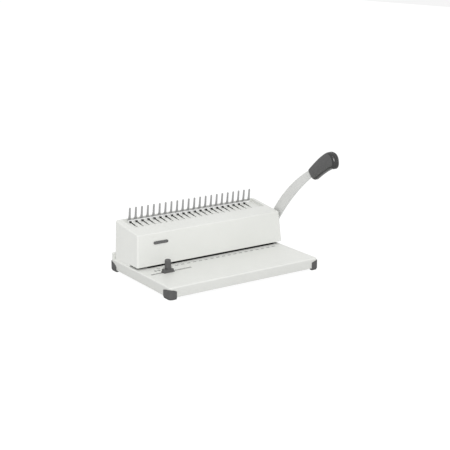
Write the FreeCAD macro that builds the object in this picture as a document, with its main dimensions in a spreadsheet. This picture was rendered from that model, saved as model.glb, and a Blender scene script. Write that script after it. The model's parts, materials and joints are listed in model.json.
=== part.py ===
import FreeCAD, Part
import math
import os
import re
import Sketcher
from FreeCAD import Placement, Rotation, Vector

# A lever-operated comb binding machine: paper base, punch, comb opener and cover.
# Frame: millimetres, +X to the operator's right, +Y to the back, +Z up, table at Z = 0.
# The origin is on the table under the centre of the whole machine with its lever at rest.

doc = FreeCAD.newDocument("comb_binding_machine")

# ---------------------------------------------------------------- driving dimensions
DIMENSIONS = [
    # comb standard
    ("comb_pitch", 14.2875), ("comb_slots", 21), ("comb_fingers", 22), ("comb_centre", 0.8),
    # base
    ("base_left", -187.0), ("base_right", 171.0), ("base_front", -95.0), ("base_back", 144.5),
    ("base_top", 25.0), ("base_low", 4.4), ("base_wall", 2.5), ("base_corner", 6.0),
    ("base_edge", 3.0), ("plate_thick", 1.6), ("plate_gap", 0.4),
    # feet
    ("foot_reach", 15.0), ("foot_side", 23.0), ("foot_proud", 1.6), ("foot_top", 20.5),
    # cover
    ("cover_left", -181.0), ("cover_right", 169.0), ("cover_front", 39.0), ("cover_back", 134.7),
    ("cover_foot_left", -184.0), ("cover_foot_right", 175.5), ("cover_foot_front", 36.5),
    ("cover_wall", 2.5), ("cover_front_top", 96.25), ("cover_lip", 29.5), ("cover_peak", 112.0),
    ("deck_tilt", 7.0), ("recess_left", -166.0), ("recess_right", 160.0), ("recess_front", 81.5),
    ("recess_depth", 6.5), ("throat_back", 70.0), ("skirt_top", 37.5),
    ("badge_half", 14.0), ("badge_round", 3.0),
    # drive
    ("shaft_y", 78.5), ("shaft_z", 52.0), ("shaft_dia", 12.0), ("shaft_flat", 1.2),
    ("roll_pin", 3.0), ("lever_swing", 42.0),
    ("punch_crank", 12.0), ("opener_crank", 27.0), ("pin_dia", 6.0), ("slot_play", 0.2),
    ("run_gap", 0.04), ("fit_gap", 0.02),
    # punch
    ("punch_line", 58.5), ("punch_wide", 8.0), ("punch_deep", 3.0), ("punch_tip", 29.0),
    ("head_side", 0.4), ("head_front", 1.0), ("head_tall", 1.5),
    ("bar_low", 40.8), ("bar_top", 50.0), ("bar_front", 49.5), ("bar_back", 65.5),
    ("die_front", 39.5), ("die_back", 73.5), ("die_low", 22.0), ("stripper_front", 46.5),
    ("stop_front", 64.0),
    ("stripper_low", 27.5), ("stripper_top", 31.5), ("post_dia", 4.0), ("post_y", 55.0),
    ("post_reach", 153.2), ("spring_wire", 0.8), ("spring_mean", 2.75), ("spring_seat", 5.0),
    ("spring_turns", 4.5),
    # side frames and cranks, measured out from the comb centre
    ("frame_in", 157.5), ("frame_out", 160.5), ("crank_in", 152.0), ("crank_out", 156.0),
    ("hub_in", 147.0), ("fork_in", 147.4), ("fork_out", 150.4),
    # comb line: where the fingers leave the recess floor
    ("comb_line", 129.5), ("comb_plate", 1.6), ("comb_edge", 4.6), ("finger_tall", 31.0),
    ("slot_near", 3.4), ("slot_step", 8.6), ("slot_far", 46.0),
    ("strip_low", -15.0), ("strip_end", 154.0), ("beam_deep", 5.0), ("beam_low", -16.5),
    ("beam_top", -9.2), ("comb_screw_row", -12.6),
    # opener slide under the recess floor
    ("slide_top", -5.0), ("slide_low", -7.0), ("rail_top", -3.2), ("rail_low", -9.0),
    ("rail_in", 151.5), ("stud_dia", 3.2), ("hook_tall", 3.0), ("hook_sheet", 1.6),
    # lever and grip
    ("lever_in", 175.2), ("lever_out", 179.2), ("grip_half", 8.5),
    # edge guide
    ("guide_left", -175.0), ("guide_right", -81.0), ("guide_y", -4.0), ("guide_x", -137.0),
    ("guide_slot", 3.6), ("guide_block_top", 32.0), ("knob_dia", 12.4), ("knob_top", 51.0),
    # chip drawer
    ("drawer_half", 150.0), ("drawer_low", 6.6), ("drawer_top", 19.0), ("drawer_front", 42.5),
    ("drawer_wall", 1.6),
]

dims = doc.addObject("Spreadsheet::Sheet", "dims")
for row, (alias, size) in enumerate(DIMENSIONS, start=1):
    dims.set("A%d" % row, alias)
    dims.set("B%d" % row, str(size))
    dims.setAlias("B%d" % row, alias)
doc.recompute()

ALIASES = re.compile(r"\b(%s)\b" % "|".join(alias for alias, _ in DIMENSIONS))
subparts = []


# ---------------------------------------------------------------- helpers
def formula(size):
    """The sheet expression for a size written with the dimensions' names."""
    return ALIASES.sub(r"dims.\1", str(size))


def number(size):
    """The value of such a size now, in mm or degrees."""
    return float(dims.evalExpression(formula(size)))


def bind(target, path, size):
    """Tie a property or constraint to the sheet, or set it when it is a plain number."""
    target.setExpression(path, formula(size))


def new_body(label, place=("0", "0", "0"), turn_x="0"):
    """An empty body that is one sub-part, placed and turned about X by sheet expressions."""
    body = doc.addObject("PartDesign::Body", label)
    body.Label = label
    body.AllowCompound = True
    body.Placement = Placement(Vector(), Rotation(Vector(1, 0, 0), 1))
    for axis, size in zip("xyz", place):
        bind(body, "Placement.Base." + axis, size)
    bind(body, "Placement.Rotation.Angle", turn_x)
    subparts.append(body)
    return body


def attach(body, sketch, plane, offset):
    """Lay a sketch on one of its body's origin planes, lifted along the plane's normal."""
    origin_plane = [f for f in body.Origin.OriginFeatures if f.Role == plane + "_Plane"][0]
    sketch.AttachmentSupport = (origin_plane, [""])
    sketch.MapMode = "FlatFace"
    bind(sketch, "AttachmentOffset.Base.z", offset)


def fix_point(sketch, geometry, which, place):
    """Dimension one point of a sketch from the origin, with both sizes from the sheet."""
    for kind, size in zip(("DistanceX", "DistanceY"), place):
        constraint = Sketcher.Constraint(kind, -1, 1, geometry, which, number(size))
        index = sketch.addConstraint(constraint)
        bind(sketch, "Constraints[%d]" % index, size)


def polygon(body, plane, corners, offset="0"):
    """A closed outline of straight lines. A corner is a pair of sizes."""
    sketch = body.newObject("Sketcher::SketchObject", "outline")
    attach(body, sketch, plane, offset)
    points = [Vector(number(a), number(b), 0) for a, b in corners]
    count = len(points)
    for i in range(count):
        sketch.addGeometry(Part.LineSegment(points[i], points[(i + 1) % count]))
    for i in range(count):
        sketch.addConstraint(Sketcher.Constraint("Coincident", i, 2, (i + 1) % count, 1))
        fix_point(sketch, i, 1, corners[i])
    return sketch


def rectangle(body, plane, first, second, offset="0"):
    """A rectangle from its two ranges, each a pair of sizes."""
    (a0, a1), (b0, b1) = first, second
    return polygon(body, plane, [(a0, b0), (a1, b0), (a1, b1), (a0, b1)], offset)


def circles(body, plane, diameter, centres, offset="0"):
    """Circles of one diameter at several centres."""
    sketch = body.newObject("Sketcher::SketchObject", "circles")
    attach(body, sketch, plane, offset)
    for i, centre in enumerate(centres):
        middle = Vector(number(centre[0]), number(centre[1]), 0)
        sketch.addGeometry(Part.Circle(middle, Vector(0, 0, 1), number(diameter) / 2))
        fix_point(sketch, i, 3, centre)
        index = sketch.addConstraint(Sketcher.Constraint("Diameter", i, number(diameter)))
        bind(sketch, "Constraints[%d]" % index, diameter)
    return sketch


def arcs(body, plane, path, offset="0"):
    """A closed outline of arcs and lines. An entry is (end point) or (point on the way, end)."""
    sketch = body.newObject("Sketcher::SketchObject", "curve")
    attach(body, sketch, plane, offset)
    ends = [entry[-1] for entry in path]
    for i, entry in enumerate(path):
        start = Vector(number(ends[i - 1][0]), number(ends[i - 1][1]), 0)
        end = Vector(number(ends[i][0]), number(ends[i][1]), 0)
        if len(entry) == 1:
            sketch.addGeometry(Part.LineSegment(start, end))
        else:
            middle = Vector(number(entry[0][0]), number(entry[0][1]), 0)
            sketch.addGeometry(Part.Arc(start, middle, end))
    sketch.addConstraint([Sketcher.Constraint("Block", i) for i in range(len(path))])
    return sketch


def loop(body, plane, points, offset="0"):
    """A closed smooth outline through points."""
    sketch = body.newObject("Sketcher::SketchObject", "loop")
    attach(body, sketch, plane, offset)
    spline = Part.BSplineCurve()
    spline.interpolate([Vector(a, b, 0) for a, b in points], PeriodicFlag=True)
    sketch.addGeometry(spline)
    sketch.addConstraint(Sketcher.Constraint("Block", 0))
    return sketch


def pad(body, sketch, length):
    """Add material from a sketch along its plane's normal."""
    feature = body.newObject("PartDesign::Pad", "pad")
    feature.Profile = sketch
    bind(feature, "Length", length)
    return feature


def pocket(body, sketch, length):
    """Remove material from a sketch along its plane's normal."""
    feature = body.newObject("PartDesign::Pocket", "pocket")
    feature.Profile = sketch
    feature.Reversed = True
    bind(feature, "Length", length)
    return feature


def repeat(body, features, step, count, axis="X"):
    """Repeat features in a row along one of the body's axes."""
    pattern = body.newObject("PartDesign::LinearPattern", "row")
    pattern.Originals = features
    line = [f for f in body.Origin.OriginFeatures if f.Role == axis + "_Axis"][0]
    pattern.Direction = (line, [""])
    bind(pattern, "Length", "(%s) * (%s - 1)" % (step, count))
    bind(pattern, "Occurrences", count)
    body.Tip = pattern
    return pattern


def dress(body, kind, size, wanted):
    """Fillet or chamfer those edges of the body for which wanted(edge middle, direction) holds."""
    doc.recompute()
    base = body.Tip
    names = []
    for i, edge in enumerate(base.Shape.Edges, start=1):
        middle = edge.valueAt((edge.FirstParameter + edge.LastParameter) / 2)
        along = edge.tangentAt((edge.FirstParameter + edge.LastParameter) / 2)
        if wanted(middle, along):
            names.append("Edge%d" % i)
    feature = body.newObject("PartDesign::" + kind, kind.lower())
    feature.Base = (base, names)
    bind(feature, "Radius" if kind == "Fillet" else "Size", size)
    return feature


def upright(along):
    return abs(along.z) > 0.95


def level(along):
    return abs(along.z) < 0.2


def start_of(plane, span):
    """Where a sketch goes so that a feature along its plane's normal fills the span."""
    return "-(%s)" % span[1] if plane == "XZ" else span[0]


def length_of(span):
    return "(%s) - (%s)" % (span[1], span[0])


def block(body, x_range, y_range, z_range):
    """Add a rectangular block."""
    return pad(body, rectangle(body, "XY", x_range, y_range, z_range[0]), length_of(z_range))


def cut_block(body, x_range, y_range, z_range):
    """Cut a rectangular block away."""
    return pocket(body, rectangle(body, "XY", x_range, y_range, z_range[0]), length_of(z_range))


def rods(body, plane, diameter, centres, span):
    """Add cylinders of one diameter over a span along the plane's normal."""
    return pad(body, circles(body, plane, diameter, centres, start_of(plane, span)), length_of(span))


def bores(body, plane, diameter, centres, span):
    """Drill holes of one diameter over a span along the plane's normal."""
    sketch = circles(body, plane, diameter, centres, start_of(plane, span))
    return pocket(body, sketch, length_of(span))


def screws(label, plane, centres, shank, head, shank_span, head_span, **placed):
    """A group of identical screws, each one solid with a round socket in its head."""
    body = new_body(label, **placed)
    rods(body, plane, shank, centres, shank_span)
    rods(body, plane, head, centres, head_span)
    depth = "((%s) - (%s)) * 0.55" % (head_span[1], head_span[0])
    if number(head_span[0]) >= number(shank_span[1]):
        socket_span = ("(%s) - %s" % (head_span[1], depth), head_span[1])
    else:
        socket_span = (head_span[0], "(%s) + %s" % (head_span[0], depth))
    bores(body, plane, "(%s) * 0.45" % head, centres, socket_span)
    return body


SIGN = {"left": "-", "right": "+"}


def both_sides(inner, outer):
    """The X ranges of a piece measured out from the comb centre: (side, range) for each side."""
    left = ("comb_centre - (%s)" % outer, "comb_centre - (%s)" % inner)
    right = ("comb_centre + (%s)" % inner, "comb_centre + (%s)" % outer)
    return [("left", left), ("right", right)]


# The recess floor at the comb line, and the frame of everything that is parallel to the floor:
# local Y runs up the slope to the back, local Z stands square on the floor.
FLOOR_Z = "cover_front_top + (comb_line - cover_front) * tan(deck_tilt) - recess_depth"
DECK = {"place": ("comb_centre", "comb_line", FLOOR_Z), "turn_x": "deck_tilt"}

# The drive shaft seen in the deck frame.
SHAFT_BACK = "((shaft_y - comb_line) * cos(deck_tilt) + (shaft_z - (%s)) * sin(deck_tilt))" % FLOOR_Z
SHAFT_DOWN = "((comb_line - shaft_y) * sin(deck_tilt) + (shaft_z - (%s)) * cos(deck_tilt))" % FLOOR_Z

FIRST_SLOT = "comb_centre - comb_pitch * (comb_slots - 1) / 2"
FIRST_FINGER = "-comb_pitch * (comb_fingers - 1) / 2"

# ---------------------------------------------------------------- base
BASE_X = ("base_left", "base_right")
BASE_Y = ("base_front", "base_back")


def base_tray():
    """The moulded paper table: a tray open below, with the die's seat and the guide's slot."""
    body = new_body("base_tray")
    block(body, BASE_X, BASE_Y, ("base_low", "base_top"))
    dress(body, "Fillet", "base_corner", lambda middle, along: upright(along))
    dress(body, "Fillet", "base_edge", lambda middle, along: middle.z > number("base_top") - 0.1)
    inside_x = ("base_left + base_wall", "base_right - base_wall")
    inside_y = ("base_front + base_wall", "base_back - base_wall")
    cut_block(body, inside_x, inside_y, ("base_low", "base_top - base_wall"))
    seat_x = ("comb_centre - frame_in", "comb_centre + frame_in")
    seat_y = ("die_front", "die_back")
    ledge_x = ("comb_centre - frame_in - 3", "comb_centre + frame_in + 3")
    ledge_y = ("die_front - 3", "die_back + 3")
    block(body, ledge_x, ledge_y, ("die_low - base_wall", "base_top - base_wall"))
    cut_block(body, seat_x, seat_y, ("die_low", "base_top"))
    chip_x = ("comb_centre - fork_in", "comb_centre + fork_in")
    cut_block(body, chip_x, ("punch_line - 6", "punch_line + 5"), ("die_low - base_wall", "die_low"))
    slot_y = ("guide_y - guide_slot / 2", "guide_y + guide_slot / 2")
    cut_block(body, ("guide_left", "guide_right"), slot_y, ("base_top - base_wall", "base_top"))
    drawer_x = ("comb_centre - drawer_half - 0.6", "comb_centre + drawer_half + 0.6")
    cut_block(body, drawer_x, ("base_back - base_wall", "base_back"), ("base_low", "drawer_top + 0.5"))
    for centres, diameter in ((die_screw_centres(), 3.0), (cover_screw_centres(), 3.4)):
        bores(body, "XY", diameter, centres, ("die_low - base_wall", "base_top"))
    bores(body, "XY", 4.0, frame_screw_centres(), ("base_top - base_wall", "base_top"))
    rods(body, "XY", 7.0, plate_screw_centres(), ("base_low + plate_thick", "base_top - base_wall"))
    bores(body, "XY", 2.6, plate_screw_centres(), ("base_low + plate_thick", "base_top - base_wall - 3"))


def die_screw_centres():
    places = ["comb_centre - 140", "comb_centre - 56", "comb_centre + 56", "comb_centre + 140"]
    return [(x, "stop_front + 4.5") for x in places]


def cover_screw_centres():
    """Two screws up the left end of the cover and one in its right rear corner."""
    left = "cover_foot_left + cover_wall + 3.2"
    right = "base_right - base_wall - 3.1"
    return [(left, "throat_back + 6"), (left, "cover_back - 9"), (right, "cover_back - 5.3")]


def frame_screw_centres(*sides):
    signs = [SIGN[side] for side in sides or SIGN]
    return [("comb_centre %s (frame_in - 7)" % sign, y)
            for sign in signs for y in ("shaft_y + 4", "shaft_y + 30")]


def plate_screw_centres():
    return [("%s" % x, y) for x in ("base_left + 26", "comb_centre", "base_right - 26")
            for y in ("base_front + 12", "drawer_front - 12")]


def bottom_plate():
    """The sheet that closes the tray from below and carries the drawer's runway."""
    body = new_body("bottom_plate")
    x_range = ("base_left + base_wall + plate_gap", "base_right - base_wall - plate_gap")
    y_range = ("base_front + base_wall + plate_gap", "base_back - base_wall - plate_gap")
    block(body, x_range, y_range, ("base_low", "base_low + plate_thick"))
    bores(body, "XY", 3.4, plate_screw_centres(), ("base_low", "base_low + plate_thick"))


def feet():
    """Four rubber corner caps that wrap the base's corners and stand on the table."""
    for depth, back in (("front", False), ("rear", True)):
        for side, right in (("left", False), ("right", True)):
            body = new_body("foot_%s_%s" % (depth, side))
            x_far = "base_right + foot_proud" if right else "base_left - foot_proud"
            y_far = "base_back + foot_proud" if back else "base_front - foot_proud"
            x_in = ("%s - " if right else "%s + ") % x_far
            y_in = ("%s - " if back else "%s + ") % y_far
            x_range = (x_far, x_in + "(foot_reach + foot_proud)")
            y_range = (y_far, y_in + "(foot_side + foot_proud)")
            if right:
                x_range = x_range[::-1]
            if back:
                y_range = y_range[::-1]
            block(body, x_range, y_range, ("0", "foot_top"))
            x_edge = number(x_far)
            y_edge = number(y_far)
            dress(body, "Fillet", "base_corner + foot_proud",
                  lambda middle, along: upright(along) and abs(middle.x - x_edge) < 1
                  and abs(middle.y - y_edge) < 1)
            dress(body, "Fillet", "1.2", lambda middle, along: middle.z > number("foot_top") - 0.1
                  and (abs(middle.x - x_edge) < 3 or abs(middle.y - y_edge) < 3))
            hollow = polygon(body, "XY", foot_hollow(right, back), "base_low")
            pocket(body, hollow, "foot_top - base_low")


def foot_hollow(right, back):
    """The base's own corner, cut out of a cap; its outer corner is a 45 degree flat."""
    x_edge = "base_right" if right else "base_left"
    y_edge = "base_back" if back else "base_front"
    x_sign = "-" if right else "+"
    y_sign = "-" if back else "+"
    far_x = "%s %s (foot_reach + 5)" % (x_edge, x_sign)
    far_y = "%s %s (foot_side + 5)" % (y_edge, y_sign)
    cut = "base_corner * (2 - sqrt(2))"
    near_x = "%s %s %s" % (x_edge, x_sign, cut)
    near_y = "%s %s %s" % (y_edge, y_sign, cut)
    return [(near_x, y_edge), (far_x, y_edge), (far_x, far_y), (x_edge, far_y), (x_edge, near_y)]


# ---------------------------------------------------------------- cover
INNER_BACK = "cover_back - cover_wall"
ABOVE = "cover_peak + 20"


def floor_at(y):
    """The height of the recess floor at a place from front to back."""
    return "(%s) + ((%s) - comb_line) * tan(deck_tilt)" % (FLOOR_Z, y)


def top_at(y):
    """The height of the cover's sloping top at a place from front to back."""
    return "cover_front_top + ((%s) - cover_front) * tan(deck_tilt)" % y


def tapered_block(body, inset, low):
    """The cover's tapered form between its foot and above its top, shrunk by an inset."""
    back = "cover_back - (%s)" % inset
    foot = rectangle(body, "XY",
                     ("cover_foot_left + (%s)" % inset, "cover_foot_right - (%s)" % inset),
                     ("cover_foot_front + (%s)" % inset, back), low)
    lean = "((cover_peak - cover_front_top) / (cover_front_top - base_top))"
    left = "cover_left + (cover_left - cover_foot_left) * %s + (%s)" % (lean, inset)
    right = "cover_right + (cover_right - cover_foot_right) * %s - (%s)" % (lean, inset)
    front = "cover_front + (cover_front - cover_foot_front) * %s + (%s)" % (lean, inset)
    head = rectangle(body, "XY", (left, right), (front, back), "cover_peak")
    loft = body.newObject("PartDesign::AdditiveLoft", "taper")
    loft.Profile = foot
    loft.Sections = [head]
    loft.Ruled = True


def trim_above(body, drop):
    """Cut off what stands above the sloping top lowered by a drop."""
    near, far = "cover_front - 20", "cover_back + 20"
    slope = polygon(body, "YZ", [
        (near, "%s - (%s)" % (top_at(near), drop)), (far, "%s - (%s)" % (top_at(far), drop)),
        (far, ABOVE), (near, ABOVE)], "cover_foot_left - 20")
    pocket(body, slope, "cover_foot_right - cover_foot_left + 40")


def tub(body, margin):
    """The comb recess as a cut, grown on all sides by a margin."""
    front, back = "recess_front - (%s)" % margin, "%s + (%s)" % (INNER_BACK, margin)
    section = polygon(body, "YZ", [
        (front, "%s - (%s)" % (floor_at(front), margin)),
        (back, "%s - (%s)" % (floor_at(back), margin)),
        (back, ABOVE), (front, ABOVE)], "recess_left - (%s)" % margin)
    pocket(body, section, "recess_right - recess_left + 2 * (%s)" % margin)


def on_rim(middle, along):
    """The outer rim of the cover's sloping top, without the recess."""
    rim = number(top_at("%r" % middle.y))
    outside = (middle.y < number("cover_front + 3") or middle.y > number("cover_back - 0.5")
               or middle.x < number("cover_left + 6") or middle.x > number("cover_right - 6"))
    return abs(middle.z - rim) < 0.6 and outside and not upright(along)


def main_cover():
    """The cover: a tapered shell with a sloping top, the comb recess, its slots and the throat."""
    outer = new_body("cover_form")
    outer.AllowCompound = False
    tapered_block(outer, "0", "base_top")
    trim_above(outer, "0")
    tub(outer, "0")
    dress(outer, "Fillet", "3.2",
          lambda middle, along: upright(along) and middle.y < number("cover_front + 3"))
    dress(outer, "Fillet", "7",
          lambda middle, along: upright(along) and middle.y > number("cover_back - 0.5")
          and abs(middle.x) > number("recess_right"))
    dress(outer, "Fillet", "2.2", on_rim)
    beyond_x = ("cover_foot_left - 5", "cover_foot_right + 5")
    cut_block(outer, beyond_x, ("cover_foot_front - 5", "throat_back"), ("base_top", "cover_lip"))
    bores(outer, "YZ", "shaft_dia + 5", [("shaft_y", "shaft_z")],
          ("cover_right - 8", "cover_foot_right + 5"))
    bores(outer, "XY", 2.6, cover_screw_centres(), ("base_top", "base_top + 18"))
    slit_x = ("comb_centre - frame_in + 3", "comb_centre + frame_in - 3")
    slit_y = ("comb_line - comb_plate * 0.56", "comb_line + comb_plate * 0.9")
    cut_block(outer, slit_x, slit_y, ("cover_front_top - 20", "cover_peak"))
    finger = "comb_centre + (%s)" % FIRST_FINGER
    outline = polygon(outer, "XY", [
        ("%s - 1" % finger, "comb_line - slot_far"), ("%s + 2" % finger, "comb_line - slot_far"),
        ("%s + 2" % finger, "comb_line - slot_near"),
        ("%s - 4.2" % finger, "comb_line - slot_near"),
        ("%s - 4.2" % finger, "comb_line - slot_step"), ("%s - 1" % finger, "comb_line - slot_step")],
        "cover_front_top - 20")
    opening = pocket(outer, outline, "cover_peak - cover_front_top + 20")
    repeat(outer, [opening], "comb_pitch", "comb_slots")

    core = new_body("cover_core")
    core.AllowCompound = False
    tapered_block(core, "cover_wall", "base_top - 1")
    trim_above(core, "cover_wall / cos(deck_tilt)")
    tub(core, "cover_wall")
    boss_z = ("base_top - 1", "base_top + 22")
    bores(core, "XY", 8.0, cover_screw_centres()[:2], boss_z)
    cut_block(core, ("base_right - base_wall - 7", "cover_foot_right"),
              ("cover_back - cover_wall - 5.4", "cover_back"), boss_z)

    cover = doc.addObject("Part::Cut", "main_cover")
    cover.Label = "main_cover"
    cover.Base = outer
    cover.Tool = core
    subparts.remove(outer)
    subparts.remove(core)
    subparts.append(cover)


def rear_skirt():
    """The low ledge behind the cover, over the drawer's end of the base."""
    body = new_body("rear_skirt")
    block(body, ("base_left + 0.5", "base_right - 1"), ("cover_back", "base_back - 0.5"),
          ("base_top", "skirt_top"))
    dress(body, "Fillet", "5", lambda middle, along: upright(along) and middle.y > number("base_back - 2"))
    dress(body, "Fillet", "2", lambda middle, along: middle.z > number("skirt_top - 0.1")
          and middle.y > number("cover_back + 0.2"))
    cut_block(body, ("base_left + 10.5", "base_right - 12"), ("cover_back", "base_back - 3"),
              ("base_top", "skirt_top - cover_wall"))


def front_badge():
    """A plain raised plaque with round ends and nothing on it."""
    place = ("cover_left + 53", "(cover_front + cover_foot_front) / 2 + 0.1", "76.0")
    lean = "-atan((cover_front - cover_foot_front) / (cover_front_top - base_top))"
    body = new_body("front_badge", place=place, turn_x=lean)
    outline = [
        [("badge_half", "-badge_round")],
        [("badge_half + badge_round", "0"), ("badge_half", "badge_round")],
        [("-badge_half", "badge_round")],
        [("-badge_half - badge_round", "0"), ("-badge_half", "-badge_round")],
    ]
    pad(body, arcs(body, "XZ", outline), "1.1")


# ---------------------------------------------------------------- punch
def die_plate():
    """The steel die, flush with the table, with a hole for each punch."""
    body = new_body("die_plate")
    block(body, ("comb_centre - frame_in + 0.3", "comb_centre + frame_in - 0.3"),
          ("die_front + 0.2", "die_back - 0.2"), ("die_low", "base_top"))
    bores(body, "XY", 3.2, die_screw_centres(), ("die_low", "base_top"))
    row_of_holes(body, 0.05, ("die_low", "base_top"))


def row_of_holes(body, play, z_range):
    """The row of rectangular holes that the punches pass through."""
    half_wide = "(punch_wide / 2 + %s)" % play
    half_deep = "(punch_deep / 2 + %s)" % play
    first = "(%s)" % FIRST_SLOT
    hole = cut_block(body, ("%s - %s" % (first, half_wide), "%s + %s" % (first, half_wide)),
                     ("punch_line - %s" % half_deep, "punch_line + %s" % half_deep), z_range)
    repeat(body, [hole], "comb_pitch", "comb_slots")


def back_stop():
    """The strip that the sheets' edges meet, which also spaces the stripper from the die."""
    body = new_body("back_stop")
    block(body, ("comb_centre - frame_in + 0.3", "comb_centre + frame_in - 0.3"),
          ("stop_front", "die_back - 0.2"), ("base_top", "stripper_low"))
    bores(body, "XY", 3.2, die_screw_centres(), ("base_top", "stripper_low"))


def stripper_plate():
    """The plate that guides the punches and strips the sheets off them."""
    body = new_body("stripper_plate")
    z_range = ("stripper_low", "stripper_top")
    block(body, ("comb_centre - frame_in + 0.3", "comb_centre + frame_in - 0.3"),
          ("stripper_front + 0.2", "die_back - 0.2"), z_range)
    dress(body, "Chamfer", "1.2", lambda middle, along: middle.z < number("stripper_low + 0.1")
          and middle.y < number("stripper_front + 0.5"))
    bores(body, "XY", 3.2, die_screw_centres(), z_range)
    bores(body, "XY", "post_dia", post_centres(), z_range)
    row_of_holes(body, 0.08, z_range)


def post_centres():
    return [("comb_centre - post_reach", "post_y"), ("comb_centre + post_reach", "post_y")]


def guide_posts():
    """Two pins that keep the punch bar square as it travels."""
    body = new_body("guide_posts")
    rods(body, "XY", "post_dia", post_centres(), ("stripper_low", "bar_top + 3"))
    dress(body, "Chamfer", "0.6", lambda middle, along: middle.z > number("bar_top + 2.9"))


def punch_bar():
    """The bar that drives all the punches down together."""
    body = new_body("punch_bar")
    z_range = ("bar_low", "bar_top")
    block(body, ("comb_centre - frame_in + 0.4", "comb_centre + frame_in - 0.4"),
          ("bar_front", "bar_back"), z_range)
    dress(body, "Chamfer", "0.8", lambda middle, along: abs(along.x) > 0.9)
    bores(body, "XY", "post_dia + 2 * run_gap", post_centres(), z_range)
    bores(body, "XY", "2 * spring_mean + spring_wire + 0.5", post_centres(),
          ("bar_low", "bar_low + spring_seat"))
    row_of_holes(body, 0.03, z_range)
    bores(body, "XZ", 2.5, fork_screw_centres(), ("bar_front", "bar_front + 7"))


def punch_pins():
    """Twenty-one punches with heads that rest on the bar."""
    body = new_body("punch_pins")
    first = "(%s)" % FIRST_SLOT
    shank = block(body, (first + " - punch_wide / 2", first + " + punch_wide / 2"),
                  ("punch_line - punch_deep / 2", "punch_line + punch_deep / 2"),
                  ("punch_tip", "bar_top"))
    head = block(body, (first + " - punch_wide / 2 - head_side", first + " + punch_wide / 2 + head_side"),
                 ("punch_line - punch_deep / 2 - head_front", "punch_line + punch_deep / 2 + head_front"),
                 ("bar_top", "bar_top + head_tall"))
    repeat(body, [shank, head], "comb_pitch", "comb_slots")


def pin_retainer():
    """The strip screwed over the punches' heads."""
    body = new_body("pin_retainer")
    z_range = ("bar_top + head_tall", "bar_top + 3")
    block(body, ("comb_centre - hub_in + 0.2", "comb_centre + hub_in - 0.2"),
          ("bar_front + 1.5", "bar_back - 3.5"), z_range)
    bores(body, "XY", 3.2, retainer_screw_centres(), z_range)


def retainer_screw_centres():
    return [("comb_centre + comb_pitch * %s" % step, "punch_line") for step in (-8.5, -2.5, 2.5, 8.5)]


def punch_forks():
    """The forks that stand on the punch bar and take the short cranks' pins."""
    rest = "shaft_z + punch_crank * sin(lever_swing / 2)"
    half = "(pin_dia / 2 + slot_play)"
    back = "shaft_y - 10"
    for side, x_range in both_sides("fork_in", "fork_out"):
        body = new_body("punch_fork_" + side)
        section = polygon(body, "YZ", [
            ("bar_front - 2", "bar_low + 1"), ("bar_front", "bar_low + 1"),
            ("bar_front", "bar_top"), ("bar_back - 2", "bar_top"),
            ("bar_back - 2", "%s - %s - 3" % (rest, half)),
            (back, "%s - %s - 3" % (rest, half)), (back, "%s - %s" % (rest, half)),
            ("shaft_y - 17", "%s - %s" % (rest, half)), ("shaft_y - 17", "%s + %s" % (rest, half)),
            (back, "%s + %s" % (rest, half)), (back, "%s + %s + 4" % (rest, half)),
            ("bar_front - 2", "%s + %s + 4" % (rest, half))], x_range[0])
        pad(body, section, length_of(x_range))
        inner = "comb_centre - hub_in" if side == "left" else "comb_centre + hub_in"
        flange = (x_range[0], inner + " + 14") if side == "left" else (inner + " - 14", x_range[1])
        block(body, flange, ("bar_front - 2", "bar_front"), ("bar_low + 1", "bar_top - 0.2"))
        holes = fork_screw_centres(side)
        bores(body, "XZ", 2.8, holes, ("bar_front - 2", "bar_front"))


def fork_screw_centres(*sides):
    middle = "(bar_low + bar_top) / 2"
    signs = [SIGN[side] for side in sides or SIGN]
    return [("comb_centre %s (hub_in %s)" % (sign, step), middle)
            for sign in signs for step in ("- 3", "- 11")]


# ---------------------------------------------------------------- side frames and shaft
def side_frames():
    """Two steel cheeks on the base that carry the shaft and the slide rails."""
    for side, x_range in both_sides("frame_in", "frame_out"):
        body = new_body("side_frame_" + side)
        section = polygon(body, "YZ", [
            ("stripper_front", "base_top"), ("shaft_y + 42", "base_top"),
            ("shaft_y + 48", "base_top + 20"),
            ("shaft_y + 48", "%s - 3.2 / cos(deck_tilt)" % floor_at("shaft_y + 48")),
            ("stripper_front + 2", "%s - 3.2 / cos(deck_tilt)" % floor_at("stripper_front + 2")),
            ("stripper_front", "base_top + 40")], x_range[0])
        pad(body, section, length_of(x_range))
        bores(body, "YZ", "shaft_dia + 4", [("shaft_y", "shaft_z")], x_range)
        window = polygon(body, "YZ", [
            ("shaft_y + 12", "base_top + 12"), ("shaft_y + 34", "base_top + 12"),
            ("shaft_y + 38", "base_top + 30"), ("shaft_y + 38", "base_top + 50"),
            ("shaft_y + 22", "base_top + 50")], x_range[0])
        pocket(body, window, length_of(x_range))
        foot_in = "frame_in - 13"
        foot = [pair for name, pair in both_sides(foot_in, "frame_in") if name == side][0]
        block(body, foot, ("die_back + 1", "shaft_y + 40"), ("base_top", "base_top + 3"))
        bores(body, "XY", 4.2, frame_screw_centres(side), ("base_top", "base_top + 3"))
        bores(body, "YZ", "stud_dia", stud_holes(), x_range)


STUD_PLACES = ("stripper_front + 12", "shaft_y + 40")
STUD_DROP = "((slide_top + slide_low) / 2 / cos(deck_tilt))"


def stud_holes():
    """Where the rails' studs go through the cheeks, on the rails' middle line."""
    return [(y, "%s + %s" % (floor_at(y), STUD_DROP)) for y in STUD_PLACES]


def stud_centres():
    """The same centres along and above the deck, from the deck's own origin."""
    along = "(%s - comb_line) / cos(deck_tilt) + %s * sin(deck_tilt)"
    return [(along % (y, STUD_DROP), "(slide_top + slide_low) / 2") for y in STUD_PLACES]


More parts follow.
